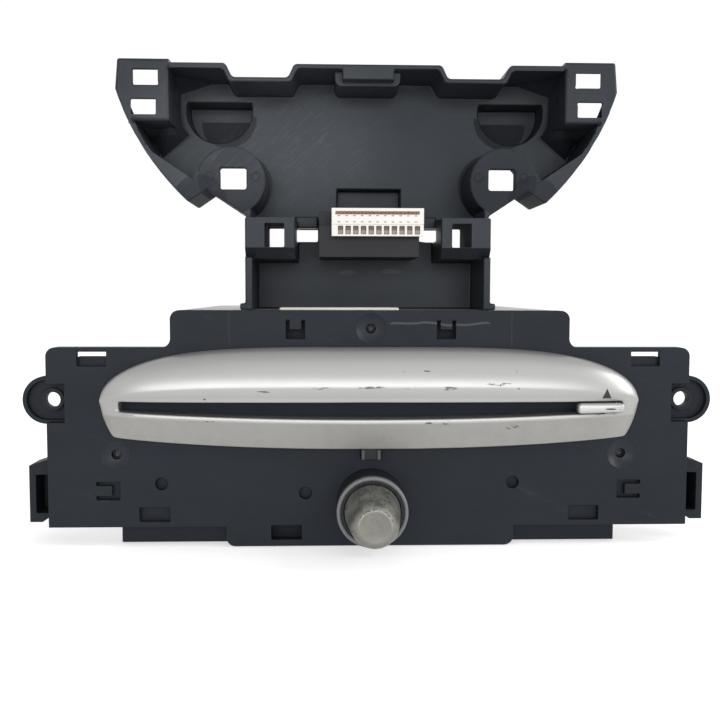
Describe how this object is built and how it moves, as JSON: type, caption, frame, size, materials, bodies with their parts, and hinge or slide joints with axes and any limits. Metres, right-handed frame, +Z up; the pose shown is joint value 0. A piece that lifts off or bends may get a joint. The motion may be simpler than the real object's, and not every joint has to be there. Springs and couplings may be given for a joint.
{
  "type": "car cd radio",
  "caption": "Slot-loading dashboard disc radio: moulded front carrier with silver lens-shaped slot trim, one knob, bracket tray with connector above a steel chassis",
  "frame": {"origin": "on the underside, midway between the sides, in the plane where the two ears seat", "axes": "+X right as the driver sees it, +Y into the dashboard, +Z up"},
  "size_m": [0.2948, 0.2335, 0.2122],
  "materials": {
    "black_plastic": "fine satin moulding",
    "silver_paint": "silver metallic paint, satin",
    "button_plastic": "silver, satin",
    "grey_plastic": "satin grey",
    "knob_plastic": "worn soft coating",
    "clear_plastic": "clear, slightly warm",
    "white_plastic": "plain moulding",
    "copper_contact": "bright contact",
    "zinc_steel": "zinc plated sheet",
    "dark_steel": "dark screw",
    "sink_aluminium": "drawn",
    "board": "solder resist",
    "felt": "short pile",
    "rubber": "matt",
    "gear_plastic": "natural acetal",
    "chip_body": "mould compound",
    "can_aluminium": "sleeve",
    "lens_glass": "coated lens"
  },
  "bodies": {
    "radio": {"front_carrier": "black_plastic", "silver_trim": "silver_paint", "eject_switch": "chip_body", "light_guide": "clear_plastic", "knob_ring": "grey_plastic", "encoder_body": "chip_body", "slot_felt_upper": "felt", "slot_felt_lower": "felt", "backing_frame": "black_plastic", "carrier_screws": "dark_steel", "front_board": "board", "upper_bracket": "black_plastic", "connector_holder": "black_plastic", "connector_housing": "white_plastic", "connector_contacts": "copper_contact", "bracket_screws": "dark_steel", "chassis_tray": "zinc_steel", "chassis_cover": "zinc_steel", "cover_screws": "zinc_steel", "heat_sink": "sink_aluminium", "rear_connector": "black_plastic", "rear_connector_pins": "copper_contact", "aerial_sockets": "white_plastic", "aerial_pins": "copper_contact", "main_board": "board", "board_pillars": "zinc_steel", "amplifier_chip": "chip_body", "capacitors": "can_aluminium", "tuner_can": "zinc_steel", "mech_frame": "zinc_steel", "mech_top_plate": "zinc_steel", "mech_dampers": "rubber", "loading_motor": "zinc_steel", "spindle_motor": "zinc_steel", "clamp_pin": "zinc_steel", "guide_rods": "zinc_steel", "sled_motor": "zinc_steel"},
    "knob_plunger": {"encoder_plunger": "gear_plastic"},
    "knob": {"encoder_shaft": "zinc_steel", "volume_knob": "knob_plastic"},
    "eject": {"eject_button": "button_plastic"},
    "roller": {"loading_roller": "rubber", "roller_shaft": "zinc_steel", "roller_gear": "gear_plastic"},
    "idler": {"idler_gear": "gear_plastic"},
    "pinion": {"motor_pinion": "gear_plastic", "motor_shaft": "zinc_steel"},
    "spindle": {"turntable": "gear_plastic"},
    "sled": {"pickup_sled": "chip_body"},
    "lens": {"pickup_lens": "lens_glass"},
    "screw": {"lead_screw": "zinc_steel"},
    "clamp": {"clamp_arm": "zinc_steel"},
    "puck": {"clamp_puck": "gear_plastic"}
  },
  "joints": [
    {"name": "knob_push", "type": "slide", "parent": "radio", "child": "knob_plunger", "axis": [0, 1, 0], "range_m": [0, 0.0008], "stiffness_N_per_m": 2000, "springref_m": -0.0005},
    {"name": "knob_turn", "type": "hinge", "parent": "knob_plunger", "child": "knob", "pos_m": [0, -0.011, 0.0188], "axis": [0, 1, 0], "continuous": true},
    {"name": "eject_press", "type": "slide", "parent": "radio", "child": "eject", "axis": [0, 1, 0], "range_m": [0, 0.001], "stiffness_N_per_m": 1500, "springref_m": -0.0005},
    {"name": "roller_spin", "type": "hinge", "parent": "radio", "child": "roller", "pos_m": [0, 0.019, 0.05442], "axis": [1, 0, 0], "continuous": true},
    {"name": "idler_spin", "type": "hinge", "parent": "radio", "child": "idler", "pos_m": [-0.076, 0.03642, 0.04436], "axis": [1, 0, 0], "continuous": true},
    {"name": "pinion_spin", "type": "hinge", "parent": "radio", "child": "pinion", "pos_m": [-0.076, 0.05334, 0.04436], "axis": [1, 0, 0], "continuous": true},
    {"name": "spindle_spin", "type": "hinge", "parent": "radio", "child": "spindle", "pos_m": [0, 0.086, 0.05], "axis": [0, 0, 1], "continuous": true},
    {"name": "sled_slide", "type": "slide", "parent": "radio", "child": "sled", "axis": [0, 1, 0], "range_m": [0, 0.034]},
    {"name": "lens_focus", "type": "slide", "parent": "sled", "child": "lens", "axis": [0, 0, 1], "range_m": [-0.0004, 0.0004], "stiffness_N_per_m": 40},
    {"name": "screw_spin", "type": "hinge", "parent": "radio", "child": "screw", "pos_m": [-0.021, 0.11, 0.0425], "axis": [0, -1, 0], "range_deg": [0, 4080]},
    {"name": "clamp_swing", "type": "hinge", "parent": "radio", "child": "clamp", "pos_m": [0, 0.152, 0.06575], "axis": [1, 0, 0], "range_deg": [0, 3.4]},
    {"name": "puck_spin", "type": "hinge", "parent": "clamp", "child": "puck", "pos_m": [0, 0.086, 0.062], "axis": [0, 0, 1], "continuous": true}
  ],
  "couplings": [
    {"joint": "idler_spin", "follows": "roller_spin", "ratio": -0.66667},
    {"joint": "pinion_spin", "follows": "roller_spin", "ratio": 1.6667},
    {"joint": "screw_spin", "follows": "sled_slide", "rad_per_m": 2094.4}
  ]
}
